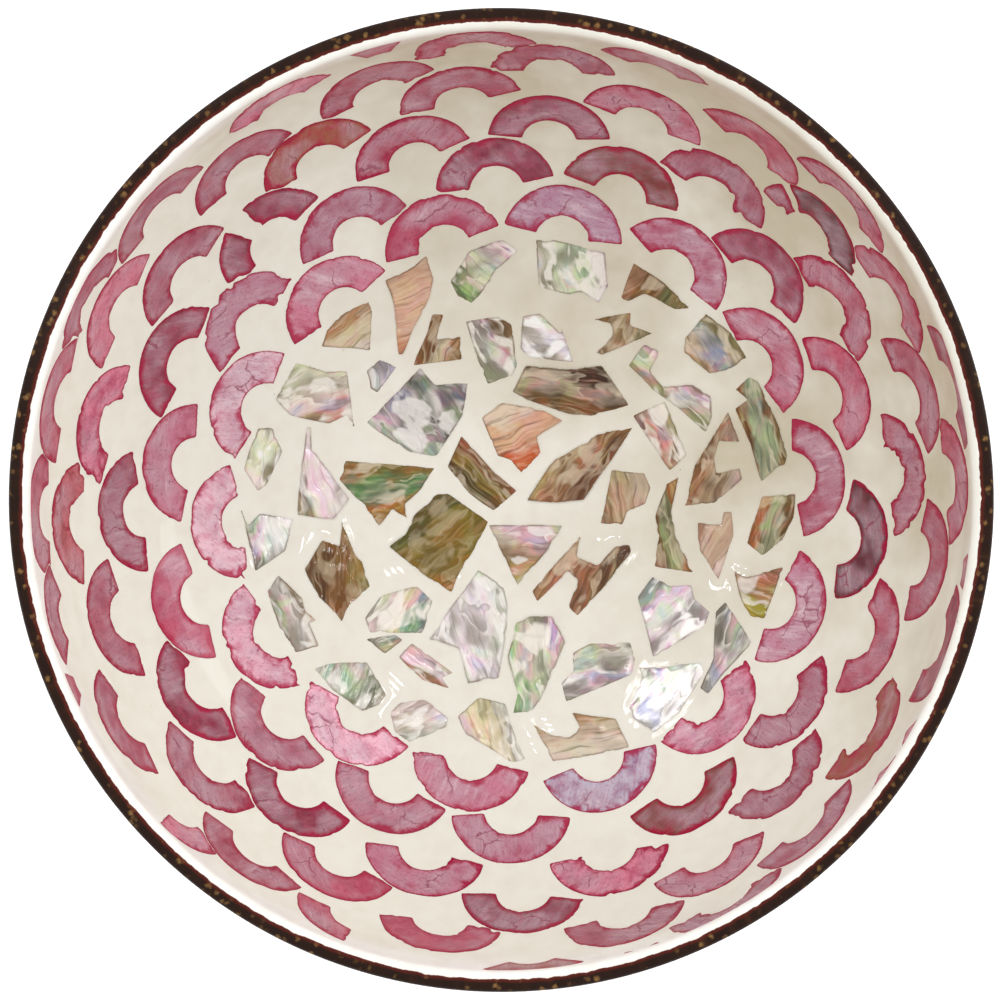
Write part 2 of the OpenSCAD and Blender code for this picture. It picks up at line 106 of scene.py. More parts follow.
outer = wall_arcs(belly_r, belly_drop, side_outer_r, inner_depth + lining_t + bottom_wall)
glue = wall_arcs(mouth_r + lining_t, 0, side_inner_r + lining_t, inner_depth + lining_t)
inner = wall_arcs(mouth_r, 0, side_inner_r, inner_depth)

shell = bmesh.new()
foot_r = math.sqrt(outer["floor_r"] ** 2 - outer["floor_at"].z ** 2)
tip = math.asin((belly_drop - lip_r) / (side_outer_r - lip_r))
lip_at = outer["side_at"] + (side_outer_r - lip_r) * Vector((math.cos(tip), 0, math.sin(tip)))
pole = shell.verts.new((0, 0, 0))
edge = shell.verts.new((foot_r, 0, 0))
shell.edges.new((pole, edge))
foot_angle = math.asin(foot_r / outer["floor_r"])
edge = turn_edge(shell, edge, outer["floor_at"], outer["join"] - foot_angle, steps=18)
edge = turn_edge(shell, edge, outer["side_at"], math.pi / 2 + tip - outer["join"], steps=44)
edge = turn_edge(shell, edge, lip_at, math.pi / 2 - tip, steps=8)
mouth_edge = shell.verts.new((mouth_r + lining_t, 0, rim_z))
shell.edges.new((edge, mouth_edge))
edge = turn_edge(shell, mouth_edge, glue["side_at"], glue["join"] - math.pi / 2, steps=40)
edge = turn_edge(shell, edge, glue["floor_at"], -glue["join"], steps=24)
lathe(shell, steps=240)


def paint(red, green, blue):
    """A colour as given, in sRGB from 0 to 255, made linear for the shader."""
    shares = (c / 255 for c in (red, green, blue))
    return [*(s / 12.92 if s < 10 / 255 else ((s + 0.055) / 1.055) ** 2.4 for s in shares), 1]


def add_node(tree, kind, values=(), **settings):
    """A shader node with its settings, and its sockets' values or links by name or number."""
    new = tree.nodes.new("ShaderNode" + kind)
    for key, value in settings.items():
        setattr(new, key, value)
    for key, value in dict(values).items():
        if isinstance(value, bpy.types.NodeSocket):
            tree.links.new(value, new.inputs[key])
        else:
            new.inputs[key].default_value = value
    return new


def ramp(tree, factor, *stops):
    """A colour ramp from its stops, each a place and a colour."""
    new = add_node(tree, "ValToRGB", {"Fac": factor})
    while len(new.color_ramp.elements) < len(stops):
        new.color_ramp.elements.new(0.5)
    for element, (place, colour) in zip(new.color_ramp.elements, stops):
        element.position = place
        element.color = colour if hasattr(colour, "__len__") else (colour, colour, colour, 1)
    return new.outputs["Color"]


def blend_in(tree, factor, a, b, way="MIX"):
    """Colour b over colour a by a factor."""
    mixed = add_node(tree, "Mix", {"Factor": factor}, data_type="RGBA", blend_type=way)
    for name, value in (("A_Color", a), ("B_Color", b)):
        target = next(s for s in mixed.inputs if s.identifier == name)
        if isinstance(value, bpy.types.NodeSocket):
            tree.links.new(value, target)
        else:
            target.default_value = value
    return next(s for s in mixed.outputs if s.identifier == "Result_Color")


def sums(tree, how, a, b=None, c=None):
    """One step of arithmetic on numbers."""
    given = {i: v for i, v in enumerate((a, b, c)) if v is not None}
    return add_node(tree, "Math", given, operation=how).outputs[0]


def lacquered(name, coat=0.45, coat_roughness=0.03, specular=0.12):
    """A new finish under the bowl's clear gloss lacquer: its material, its nodes, its shader."""
    made = bpy.data.materials.new(name)
    made.use_nodes = True
    shader = made.node_tree.nodes["Principled BSDF"]
    shader.inputs["Coat Weight"].default_value = coat
    shader.inputs["Coat Roughness"].default_value = coat_roughness
    shader.inputs["Coat IOR"].default_value = 1.5
    shader.inputs["Specular IOR Level"].default_value = specular
    return made, made.node_tree, shader


husk, tree, shader = lacquered("coconut_shell", coat=0.07, coat_roughness=0.15, specular=0.06)
place = add_node(tree, "TexCoord").outputs["Object"]
xyz = add_node(tree, "SeparateXYZ", {0: place})
level = add_node(tree, "CombineXYZ", {0: xyz.outputs[0], 1: xyz.outputs[1]}).outputs[0]
around = add_node(tree, "VectorMath", {0: level}, operation="NORMALIZE").outputs[0]
around = add_node(tree, "SeparateXYZ", {0: around}).outputs
height_share = 4.5  # The fibres' noise turns on a circle and hardly changes with height.
along_fibre = add_node(
    tree, "CombineXYZ",
    {0: around[0], 1: around[1], 2: sums(tree, "MULTIPLY", xyz.outputs[2], height_share)},
).outputs[0]
fibre = add_node(
    tree, "TexNoise", {"Vector": along_fibre, "Scale": 34, "Detail": 7, "Roughness": 0.62}
).outputs["Fac"]
# The pale flecks are ragged and drawn out along the fibre. They lie in patches on the sides
# and all over the rim's top, where the shell is sawn through and darker.
fleck_warp, fleck_stretch = (0.9 * MM,) * 3, (1, 1, 0.42)
ragged = add_node(tree, "TexNoise", {"Vector": place, "Scale": 1500, "Detail": 2, "Roughness": 0.6})
ragged = add_node(
    tree, "VectorMath", {0: ragged.outputs["Color"], 1: fleck_warp, 2: place},
    operation="MULTIPLY_ADD",
).outputs[0]
drawn_out = add_node(tree, "VectorMath", {0: ragged, 1: fleck_stretch}, operation="MULTIPLY")
fleck = add_node(tree, "TexVoronoi", {"Vector": drawn_out.outputs[0], "Scale": 700})
cloud = add_node(tree, "TexNoise", {"Vector": place, "Scale": 60, "Detail": 4, "Roughness": 0.55})
cloud = cloud.outputs["Fac"]
bark = ramp(
    tree, fibre,
    (0.38, paint(22, 12, 9)), (0.52, paint(44, 25, 17)),
    (0.62, paint(78, 47, 27)), (0.72, paint(139, 95, 56)),
)
dark_bark = blend_in(tree, ramp(tree, cloud, (0.38, 0.0), (0.66, 0.75)), bark, paint(30, 18, 13))
lip_band = 1.2 * MM
at_lip = sums(tree, "MULTIPLY_ADD", xyz.outputs[2], 1 / lip_band, 1 - rim_z / lip_band)
sawn = ramp(tree, at_lip, (0.0, 0.0), (0.6, 0.8))
dark_bark = blend_in(tree, sawn, dark_bark, paint(42, 25, 18))
in_patches = sums(tree, "MAXIMUM", at_lip, ramp(tree, cloud, (0.40, 0.2), (0.56, 0.9)))
flecked = sums(
    tree, "MULTIPLY", ramp(tree, fleck.outputs["Distance"], (0.10, 0.85), (0.35, 0.0)), in_patches
)
flecked = sums(
    tree, "MULTIPLY", flecked, ramp(tree, fleck.outputs["Color"], (0.16, 0.0), (0.50, 1.0))
)
shell_colour = blend_in(tree, flecked, dark_bark, paint(142, 106, 62))
# On the rim's top the cream laps over the inner edge, and dye has stained the shell beside it.
on_top = ramp(tree, at_lip, (0.70, 0.0), (0.90, 1.0))
lap_mm = 0.8
off_lining = add_node(tree, "VectorMath", {0: level}, operation="LENGTH").outputs["Value"]
off_lining = sums(
    tree, "MULTIPLY_ADD", off_lining, 1 / MM, -(mouth_r + lining_t) / MM - lap_mm / 2
)
uneven = add_node(tree, "TexNoise", {"Vector": place, "Scale": 420, "Detail": 3, "Roughness": 0.6})
off_lining = sums(tree, "MULTIPLY_ADD", uneven.outputs["Fac"], lap_mm, off_lining)
stained = sums(tree, "MULTIPLY", on_top, ramp(tree, off_lining, (0.10, 0.95), (0.70, 0.0)))
shell_colour = blend_in(tree, stained, shell_colour, paint(100, 34, 26))
lapped = sums(tree, "MULTIPLY", on_top, ramp(tree, off_lining, (0.03, 1.0), (0.10, 0.0)))
shell_colour = blend_in(tree, lapped, shell_colour, paint(244, 240, 230))
tree.links.new(shell_colour, shader.inputs["Base Color"])
tree.links.new(ramp(tree, fibre, (0.3, 0.42), (0.8, 0.62)), shader.inputs["Roughness"])
grooves = add_node(tree, "Bump", {"Height": fibre, "Strength": 0.25, "Distance": 0.15 * MM})
tree.links.new(grooves.outputs[0], shader.inputs["Normal"])
put_in_place(shell, "coconut_half_shell", husk, "coconut", "coconut_shell", sharp=50)

# The wall's mosaic is seven staggered rows of arches sawn from mother-of-pearl and dyed pink.
# Each is a thin plate glued in by hand. The dye is darkest at the chipped edges and in the
# cracks. The rows are set from the floor up, and the rim cuts the last ones.
def near_wall(wall, places):
    """The points of a wall curve nearest to places, and the ways from there into the bowl."""
    round_off = np.hypot(places[:, 0], places[:, 1])
    out = places[:, :2] / np.maximum(round_off, 1e-9)[:, None]
    flat = np.column_stack([round_off, places[:, 2]])
    floor_at, side_at = (np.array([wall[k].x, wall[k].z]) for k in ("floor_at", "side_at"))
    arm = flat - floor_at
    floored = (np.arctan2(arm[:, 0], -arm[:, 1]) < wall["join"])[:, None]
    centre = np.where(floored, floor_at, side_at)
    arm = flat - centre
    arm /= np.linalg.norm(arm, axis=1)[:, None]
    found = centre + arm * np.where(floored, wall["floor_r"], wall["side_r"])
    return (
        np.column_stack([out * found[:, :1], found[:, 1]]),
        -np.column_stack([out * arm[:, :1], arm[:, 1]]),
    )


def lacquer_waves(places):
    """How far the brushed lacquer rises and falls over each place, more on the floor."""
    broad_mm, middling_mm, fine_mm, floor_mm = 11, 5, 1.9, 46
    swell, floor_swell, ripple, floor_ripple = 0.012, 0.045, 0.0012, 0.004
    rise = np.empty(len(places))
    for k, p in enumerate(places):
        at = Vector(p) / MM
        middling = noise.noise(at / middling_mm + Vector((40, 0, 0)))
        broad = noise.noise(at / broad_mm) + 0.45 * middling
        fine = noise.noise(at / fine_mm + Vector((0, 70, 0)))
        pooled = 1 / (1 + (math.hypot(at.x, at.y) / floor_mm) ** 6)
        rise[k] = (swell + floor_swell * pooled) * broad + (ripple + floor_ripple * pooled) * fine
    return rise * MM


def finished_faces(node):
    """The separate plates of a CAD node: each one's finished face, turned flat in millimetres,
    with the place and the three directions that put it back on the wall."""
    same_point, face_depth, edge_on_cosine = 0.001 * MM, 0.03 * MM, 0.5
    whole = bmesh.new()
    whole.from_mesh(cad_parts[node].data)
    bmesh.ops.remove_doubles(whole, verts=whole.verts, dist=same_point)
    whole.verts.index_update()
    spots = np.array([v.co for v in whole.verts])
    found, ways = near_wall(inner, spots)
    on_face = np.abs(np.einsum("ij,ij->i", spots - found, ways)) < face_depth
    island = [-1] * len(whole.verts)
    count = 0
    for start in whole.verts:
        if island[start.index] >= 0:
            continue
        queue = [start]
        island[start.index] = count
        while queue:
            for link in queue.pop().link_edges:
                for v in link.verts:
                    if island[v.index] < 0:
                        island[v.index] = count
                        queue.append(v)
        count += 1
    for n in range(count):
        plate = whole.copy()
        plate.verts.ensure_lookup_table()
        off = [v for v in plate.verts if island[v.index] != n or not on_face[v.index]]
        bmesh.ops.delete(plate, geom=off, context="VERTS")
        facing = near_wall(inner, np.array([f.calc_center_median() for f in plate.faces]))[1]
        edge_on = [
            f for f, way in zip(plate.faces, facing) if abs(f.normal @ Vector(way)) < edge_on_cosine
        ]
        bmesh.ops.delete(plate, geom=edge_on, context="FACES")
        stray = [v for v in plate.verts if not v.link_faces]
        bmesh.ops.delete(plate, geom=stray, context="VERTS")
        middle = sum((f.calc_center_median() * f.calc_area() for f in plate.faces), Vector())
        middle /= sum(f.calc_area() for f in plate.faces)
        at, way = near_wall(inner, np.array([middle]))
        at, way = Vector(at[0]), Vector(way[0])
        across = Vector((-at.y, at.x, 0)).normalized() if at.xy.length > MM else Vector((1, 0, 0))
        across = (across - across.dot(way) * way).normalized()
        along = way.cross(across)
        for v in plate.verts:
            arm = v.co - at
            v.co = Vector((arm.dot(across), arm.dot(along), 0)) / MM
        bmesh.ops.dissolve_faces(plate, faces=plate.faces)
        bmesh.ops.recalc_face_normals(plate, faces=plate.faces)
        if plate.faces[:][0].normal.z < 0:
            bmesh.ops.reverse_faces(plate, faces=plate.faces)
        yield plate, (at, across, along, way)
    whole.free()


def cut_by_hand(plate, seed, soft, chips, fine, step):
    """Gives a flat plate its hand-cut, chipped outline, and a grid of faces over its top.
    Returns each vertex's distance from the plate's edge. All is in millimetres."""
    chip_mm, nick_mm, sway_mm, rasp_mm = 1.8, 0.8, 3.4, 0.45
    nick_share, left_whole, sway_share = 0.4, 0.2, 0.5
    for length in (1.6, 0.8, 0.4):
        for side in [e for e in plate.edges if e.calc_length() > length]:
            bmesh.utils.edge_split(side, side.verts[0], 0.5)
    for _ in range(soft):
        bmesh.ops.smooth_vert(plate, verts=plate.verts, factor=0.5, use_axis_x=True, use_axis_y=True)
    ring = [corner.vert for corner in plate.faces[:][0].loops]
    spots = [v.co.copy() for v in ring]
    for k, v in enumerate(ring):
        run = spots[(k + 1) % len(ring)] - spots[k - 1]
        inward = Vector((-run.y, run.x, 0)).normalized()
        at = Vector((spots[k].x, spots[k].y, seed))
        chip = noise.noise(at / chip_mm) + nick_share * noise.noise(at / nick_mm) - left_whole
        sway = max(0, noise.noise(at / sway_mm)) * chips * sway_share
        v.co += inward * (max(0, chip) * chips + sway + abs(noise.noise(at / rasp_mm)) * fine)
    outline = np.array([v.co.xy for v in ring])
    for axis in (0, 1):
        low, high = outline[:, axis].min(), outline[:, axis].max()
        lines = int((high - low) / step)
        normal = Vector((1 - axis, axis, 0))
        for k in range(1, lines + 1):
            bmesh.ops.bisect_plane(
                plate,
                geom=plate.verts[:] + plate.edges[:] + plate.faces[:],
                dist=0.002,
                plane_co=normal * (low + (high - low) * k / (lines + 1)),
                plane_no=normal,
            )
    plate.verts.index_update()
    spots = np.array([v.co.xy for v in plate.verts])
    side = np.roll(outline, -1, 0) - outline
    length = np.maximum((side * side).sum(1), 1e-9)
    arm = spots[:, None] - outline
    share = np.clip((arm * side).sum(2) / length, 0, 1)
    return np.linalg.norm(arm - share[..., None] * side, axis=2).min(1)


shores = []  # Where the plates' edges lie, and how far the ground's lacquer climbs there.


def set_in_wall(plate, place, edge_mm, climb, proud, flat_share, tilt, grain, tones):
    """Puts a flat plate back on the wall, a little proud, and gives it its thickness. A share of
    the wall's hollow is taken out of its face, and its marks go with it for the finish."""
    rounding_mm, sunk_mm, lip_mm, lip_clear = 0.22, 0.004, 1.5, 0.3 * MM
    at_edge = edge_mm < 0.05
    at, across, along, way = (np.array(v) for v in place)
    spots = np.array([v.co for v in plate.verts])
    points = at + (spots[:, :1] * across + spots[:, 1:2] * along) * MM
    # Each point drops onto the wall along the way that the plate's middle faces.
    for _ in range(6):
        found, ways = near_wall(inner, points)
        gap = np.einsum("ij,ij->i", points - found, ways)
        points -= (gap / (ways @ way))[:, None] * way
    ways = near_wall(inner, points)[1]
    # The face is a little flatter than the wall and tilts, and its edge stays in the lacquer.
    sag = (points - at) @ way
    lift = flat_share * (sag.max() - sag) + (spots @ np.array([*tilt, 0])) * MM
    lift -= lift[at_edge].min()
    lift += proud * MM * (1 - np.exp(-((edge_mm / rounding_mm) ** 2))) + (climb - sunk_mm) * MM
    shores.extend((Vector(p), climb * MM) for p in points[at_edge])
    under_lip = np.clip((points[:, 2] - rim_z) / MM / lip_mm + 1, 0, 1)
    tops = points + ways * (lift + lacquer_waves(points) - lining_t * under_lip**2)[:, None]
    tops[:, 2] = np.minimum(tops[:, 2], rim_z - lip_clear)
    # For the finish, each vertex keeps its place in the shell that the plate was sawn from.
    marks = plate.verts.layers
    edge_layer = marks.float.new("edge_mm")
    grain_layer = marks.float_vector.new("grain")
    tone_layers = [marks.float_color.new("tone_" + name) for name in "abc"[: len(tones)]]
    across_layer = marks.float.new("across")
    turn = np.array(Matrix.Rotation(grain[0], 2))
    turned = spots[:, :2] @ turn.T
    low, high = turned[:, 1].min(), turned[:, 1].max()
    for v, top, edge, uv in zip(plate.verts, tops, edge_mm, turned):
        v[edge_layer] = edge
        v[grain_layer] = (uv[0], uv[1], grain[1])
        v[across_layer] = 2 * (uv[1] - low) / (high - low) - 1
        for layer, tone in zip(tone_layers, tones):
            v[layer] = tone
        v.co = top
    # The back is glued to the coconut shell.
    back = bmesh.ops.extrude_face_region(plate, geom=plate.faces[:], use_keep_orig=True)
    back = [g for g in back["geom"] if isinstance(g, bmesh.types.BMVert)]
    glued = near_wall(glue, np.array([v.co for v in back]))[0]
    glued[:, 2] = np.minimum(glued[:, 2], rim_z - lip_clear)
    for v, spot in zip(back, glued):
        v.co = spot
    bmesh.ops.recalc_face_normals(plate, faces=plate.faces)


def gather(plates):
    """All the plates of a row in one mesh, each still a separate solid."""
    row, carrier = bmesh.new(), bpy.data.meshes.new("carrier")
    for plate in plates:
        plate.to_mesh(carrier)
        row.from_mesh(carrier)
        plate.free()
    bpy.data.meshes.remove(carrier)
    return row


def shared_effect(name, inputs, outputs):
    """A node group for an effect that several finishes share."""
    group = bpy.data.node_groups.new(name, "ShaderNodeTree")
    for words, way in ((inputs, "INPUT"), (outputs, "OUTPUT")):
        for word, kind in words.items():
            group.interface.new_socket(word, in_out=way, socket_type="NodeSocket" + kind)
    return group, group.nodes.new("NodeGroupInput").outputs, group.nodes.new("NodeGroupOutput").inputs


def clouds(tree, at, scale, detail=3, roughness=0.5, distortion=0.0):
    """Soft noise over a place in millimetres."""
    made = add_node(
        tree, "TexNoise",
        {
            "Vector": at, "Scale": scale, "Detail": detail,
            "Roughness": roughness, "Distortion": distortion,
        },
    )
    return made.outputs["Fac"], made.outputs["Color"]


def stretched(tree, at, x, y, z):
    """A place with its three parts scaled."""
    return add_node(tree, "VectorMath", {0: at, 1: (x, y, z)}, operation="MULTIPLY").outputs[0]


effect, given, out = shared_effect(
    "dyed_nacre",
    {
        "Grain": "Vector", "Across": "Float", "Edge": "Float",
        "Dye": "Color", "Second Dye": "Color", "Pearl Sheen": "Float",
    },
    {"Color": "Color", "Roughness": "Float", "Height": "Float"},
)
plates_apart = 17  # No two plates show the same stretch of the noise.
grain = stretched(effect, given["Grain"], 1, 1, plates_apart)
blotch = clouds(effect, grain, 0.42, 5, 0.6, 0.6)[0]
patch = clouds(effect, stretched(effect, grain, 1, 1, 1.7), 0.16, 2)[0]
streak = clouds(effect, stretched(effect, grain, 0.22, 0.9, 1.3), 1.0, 4, 0.6, 0.35)[0]
fibre = clouds(effect, stretched(effect, grain, 0.6, 3.4, 1.1), 1.0, 3, 0.6, 0.5)[0]
speck = clouds(effect, grain, 2.4, 3, 0.6)[0]
crooked = stretched(effect, clouds(effect, grain, 0.5, 3)[1], 3.2, 3.2, 0)
crooked = add_node(effect, "VectorMath", {0: grain, 1: crooked}, operation="ADD").outputs[0]
cracks = add_node(
    effect, "TexVoronoi", {"Vector": crooked, "Scale": 0.15}, feature="DISTANCE_TO_EDGE"
).outputs["Distance"]
colour = blend_in(
    effect, ramp(effect, blotch, (0.44, 0.0), (0.68, 0.9)), given["Dye"], given["Second Dye"]
)
# Off the cut edge the dye is worn down to the pearl in patches, and light streaks run along it:
# partly the pearl's own paler streaks, partly a painted pearly sheen.
worn = sums(
    effect, "MULTIPLY",
    ramp(effect, patch, (0.36, 0.1), (0.58, 0.9)),
    ramp(effect, given["Edge"], (0.3, 0.0), (0.9, 1.0)),
)
colour = blend_in(effect, worn, colour, blend_in(effect, 0.6, colour, paint(198, 170, 184)))
# Painted pearly sheen: the light streaks' colour is paler in the pale rows, on top of the pearl's own
# streaks.
pearly = sums(effect, "MULTIPLY_ADD", given["Pearl Sheen"], 0.5, 0.2)
streak_and_sheen_colour = blend_in(effect, pearly, colour, paint(248, 232, 238))
streaked = sums(
    effect, "MULTIPLY",
    ramp(effect, streak, (0.46, 0.0), (0.72, 0.8)),
    ramp(effect, patch, (0.38, 0.15), (0.62, 0.8)),
)
colour = blend_in(effect, streaked, colour, streak_and_sheen_colour)
dark_dye = blend_in(effect, 0.8, given["Second Dye"], paint(172, 4, 62))
colour = blend_in(effect, ramp(effect, fibre, (0.52, 0.0), (0.72, 0.36)), colour, dark_dye)
speckled = ramp(effect, speck, (0.56, 0.0), (0.74, 0.55))
colour = blend_in(effect, speckled, colour, paint(138, 34, 66))
in_crack = sums(
    effect, "MULTIPLY",
    ramp(effect, cracks, (0.004, 0.8), (0.022, 0.0)),
    ramp(effect, patch, (0.52, 0.0), (0.60, 0.9)),
)
colour = blend_in(effect, in_crack, colour, paint(140, 34, 70))
# The dye has soaked in from the cut edge, unevenly, and a thin line of it stands on the edge.
soaked = sums(effect, "MULTIPLY_ADD", sums(effect, "SUBTRACT", blotch, 0.5), -4.2, given["Edge"])
off_middle = sums(effect, "SUBTRACT", given["Across"], 0.5)
soaked = sums(effect, "MULTIPLY_ADD", off_middle, -0.4, soaked)
colour = blend_in(effect, ramp(effect, soaked, (0.05, 0.95), (0.95, 0.0)), colour, dark_dye)
rim_line = sums(effect, "SUBTRACT", given["Edge"], sums(effect, "MULTIPLY", speck, 0.35))
rim_line = ramp(effect, sums(effect, "ADD", rim_line, 0.15), (0.02, 0.95), (0.26, 0.0))
colour = blend_in(effect, rim_line, colour, paint(158, 0, 58))
effect.links.new(colour, out["Color"])
effect.links.new(sums(effect, "MULTIPLY_ADD", blotch, 0.25, 0.26), out["Roughness"])
ridges, grit = sums(effect, "MULTIPLY", streak, 0.8), sums(effect, "MULTIPLY", speck, 0.35)
effect.links.new(sums(effect, "ADD", ridges, grit), out["Height"])
dyed_nacre = effect


def marked(tree, name, part):
    """What the piece's mesh carries at each place under a name."""
    return add_node(tree, "Attribute", attribute_name=name).outputs[part]


def dyed_pearl(slot, pearl):
    """The finish of a group of rows, some of which have more painted pearly sheen in their light
    streaks than others.
    """
    finish, tree, shader = lacquered(slot)
    look = add_node(
        tree, "Group",
        {
            "Grain": marked(tree, "grain", "Vector"),
            "Across": marked(tree, "across", "Fac"),
            "Edge": marked(tree, "edge_mm", "Fac"),
            "Dye": marked(tree, "tone_a", "Color"),
            "Second Dye": marked(tree, "tone_b", "Color"),
            "Pearl Sheen": pearl,
        },
        node_tree=dyed_nacre,
    )
    relief = add_node(
        tree, "Bump", {"Height": look.outputs["Height"], "Strength": 0.6, "Distance": 0.08 * MM}
    )
    tree.links.new(look.outputs["Color"], shader.inputs["Base Color"])
    tree.links.new(look.outputs["Roughness"], shader.inputs["Roughness"])
    tree.links.new(relief.outputs[0], shader.inputs["Normal"])
    shader.inputs["Metallic"].default_value = 0.25
    return finish


dyed_finish = {
    "dyed_pearl_pale": dyed_pearl("dyed_pearl_pale", 1.0),
    "dyed_pearl_rose": dyed_pearl("dyed_pearl_rose", 0.4),
    "dyed_pearl_crimson": dyed_pearl("dyed_pearl_crimson", 0.3),
}
# A letter for each dye, with its main tone and the tone of its blotches.
DYES = {
    "r": ((186, 86, 108), (158, 46, 76)), "o": ((176, 94, 112), (148, 72, 94)),
    "c": ((174, 62, 92), (196, 92, 116)), "d": ((132, 36, 60), (168, 68, 94)),
    "h": ((240, 180, 198), (208, 92, 130)), "k": ((88, 32, 36), (124, 44, 52)),
    "b": ((118, 54, 40), (142, 42, 48)), "B": ((156, 78, 52), (172, 52, 68)),
    "p": ((208, 124, 146), (188, 86, 112)), "w": ((226, 186, 198), (204, 116, 144)),
    "s": ((214, 124, 150), (174, 50, 90)), "l": ((178, 128, 154), (160, 80, 114)),
    "m": ((190, 122, 144), (170, 58, 90)), "v": ((205, 196, 216), (148, 76, 130)),
    "e": ((194, 98, 108), (150, 44, 50)),
}
first_row_r, middle_share, pattern_turn = 40.83, 0.0784, math.radians(-42)
pattern_middle = Vector((math.cos(pattern_turn), math.sin(pattern_turn)))
pattern_middle *= middle_share * first_row_r * MM
grid_mm = 0.55


def dyed_row(number, slot, letters):
    """Makes one row of dyed plates, with a letter for each plate's dye in turn around the bowl."""
    unrolled, most_tilt = 1.12, 0.004
    dice = random.Random(number)
    found = []
    for plate, place in finished_faces(f"tile_row_{number}"):
        at = place[0].xy * unrolled - pattern_middle
        found.append((math.atan2(at.y, at.x) % (2 * math.pi), plate, place))
    found.sort(key=lambda f: f[0])
    plates = []
    for k, (_, plate, place) in enumerate(found):
        # Each plate's tones vary at random, and each row further up is painted a little lighter, as
        # painted light.
        shade = dice.uniform(0.92, 1.08) + 0.008 * number
        tones = [paint(*(min(255, c * shade) for c in tone)) for tone in DYES[letters[k]]]
        seed = number * 20 + k
        chips = dice.choice((0.3, 0.6, 1.2))
        edge_mm = cut_by_hand(plate, seed, soft=2, chips=chips, fine=0.08, step=grid_mm)
        tilt = (dice.uniform(-most_tilt, most_tilt), dice.uniform(-most_tilt, most_tilt))
        grain = (dice.uniform(0, math.pi), seed)
        set_in_wall(
            plate, place, edge_mm, climb=0.012, proud=0.03, flat_share=0.12,
            tilt=tilt, grain=grain, tones=tones,
        )
        plates.append(plate)
    put_in_place(
        gather(plates), f"pearl_row_{number}", dyed_finish[slot], slot, f"tile_row_{number}",
        sharp=35,
    )


dyed_row(1, "dyed_pearl_pale", "rrmlcpwwhhpvsm")
dyed_row(2, "dyed_pearl_rose", "rdbdmmpcoombok")
dyed_row(3, "dyed_pearl_rose", "rrodrdddoddmsor")
dyed_row(4, "dyed_pearl_rose", "rkoprBosoocdpBc")
dyed_row(5, "dyed_pearl_rose", "rrroropecrcood")
dyed_row(6, "dyed_pearl_rose", "drrrsorrprBopc")
dyed_row(7, "dyed_pearl_crimson", "ccrcr")

# The floor's mosaic is natural abalone shell, broken by hand into angular fragments and glued in
# face up, each a little flatter than the floor. The shell's silver, green, pink and brown layers
# are cut through at a slant, so they lie as bands, and the pearly ones flash.
effect, given, out = shared_effect(
    "abalone_nacre",
    {
        "Grain": "Vector", "Across": "Float", "Edge": "Float",
        "Tone": "Color", "Second Tone": "Color", "Third Tone": "Color",
        "Bands": "Float", "Flash": "Float", "Veins": "Float", "Warmth": "Float",
    },
    {"Color": "Color", "Roughness": "Float", "Metallic": "Float", "Height": "Float"},
)
fragments_apart, warp_mm = 13, 2.4
grain = stretched(effect, given["Grain"], 1, 1, fragments_apart)
warp = clouds(effect, stretched(effect, grain, 1, 1, 1.4), 0.20, 1)[1]
warp = add_node(
    effect, "VectorMath",
    {0: stretched(effect, warp, warp_mm, warp_mm, 0), 1: (-warp_mm / 2, -warp_mm / 2, 0)},
    operation="ADD",
).outputs[0]
drift = add_node(effect, "VectorMath", {0: grain, 1: warp}, operation="ADD").outputs[0]
wander = clouds(effect, stretched(effect, grain, 0.7, 1, 0.7), 0.26, 2, 0.5, 0.3)[0]
thin_layers = clouds(effect, stretched(effect, drift, 0.10, 1.7, 1), 1.0, 3, 0.55)[0]
fold = clouds(effect, stretched(effect, drift, 0.7, 1.0, 1.9), 0.26, 1.5, 0.4, 0.4)[0]
glint = clouds(effect, stretched(effect, drift, 0.6, 1.0, 2.3), 0.34, 2, 0.45, 0.3)[0]
hue = clouds(effect, stretched(effect, drift, 0.6, 0.9, 2.7), 0.30, 1, 0.5, 0.5)[0]
veins = add_node(
    effect, "TexVoronoi", {"Vector": stretched(effect, drift, 0.6, 1.2, 0.3), "Scale": 0.42},
    feature="DISTANCE_TO_EDGE",
).outputs["Distance"]
wrinkle = clouds(effect, stretched(effect, drift, 0.5, 1.2, 3.1), 0.30, 2, 0.5, 0.4)[0]
# The three tones lie in bands across the fragment. Banded shell has the straighter, keener bands.
loose = sums(effect, "MULTIPLY_ADD", given["Bands"], -1.0, 2.2)
bend = sums(effect, "MULTIPLY", sums(effect, "SUBTRACT", wander, 0.5), loose)
slant = sums(effect, "MULTIPLY_ADD", given["Across"], 0.85, bend)
keen = sums(effect, "MULTIPLY_ADD", given["Bands"], 5.0, 1.0)
seam = 0.36
upper = sums(effect, "MULTIPLY_ADD", sums(effect, "SUBTRACT", slant, seam), keen, 0.5)
lower = sums(effect, "MULTIPLY_ADD", sums(effect, "SUBTRACT", -seam, slant), keen, 0.5)
upper, lower = (ramp(effect, band, (0.0, 0.0), (1.0, 1.0)) for band in (upper, lower))
colour = blend_in(effect, upper, given["Tone"], given["Second Tone"])
colour = blend_in(effect, lower, colour, given["Third Tone"])
pale = blend_in(effect, 0.35, colour, paint(244, 234, 212))
deep = blend_in(effect, 0.62, colour, paint(50, 32, 16))
lined = sums(effect, "MULTIPLY", ramp(effect, thin_layers, (0.52, 0.0), (0.62, 0.8)), given["Bands"])
colour = blend_in(effect, lined, colour, pale)
lined = sums(effect, "MULTIPLY", ramp(effect, thin_layers, (0.36, 0.8), (0.46, 0.0)), given["Bands"])
colour = blend_in(effect, lined, colour, deep)
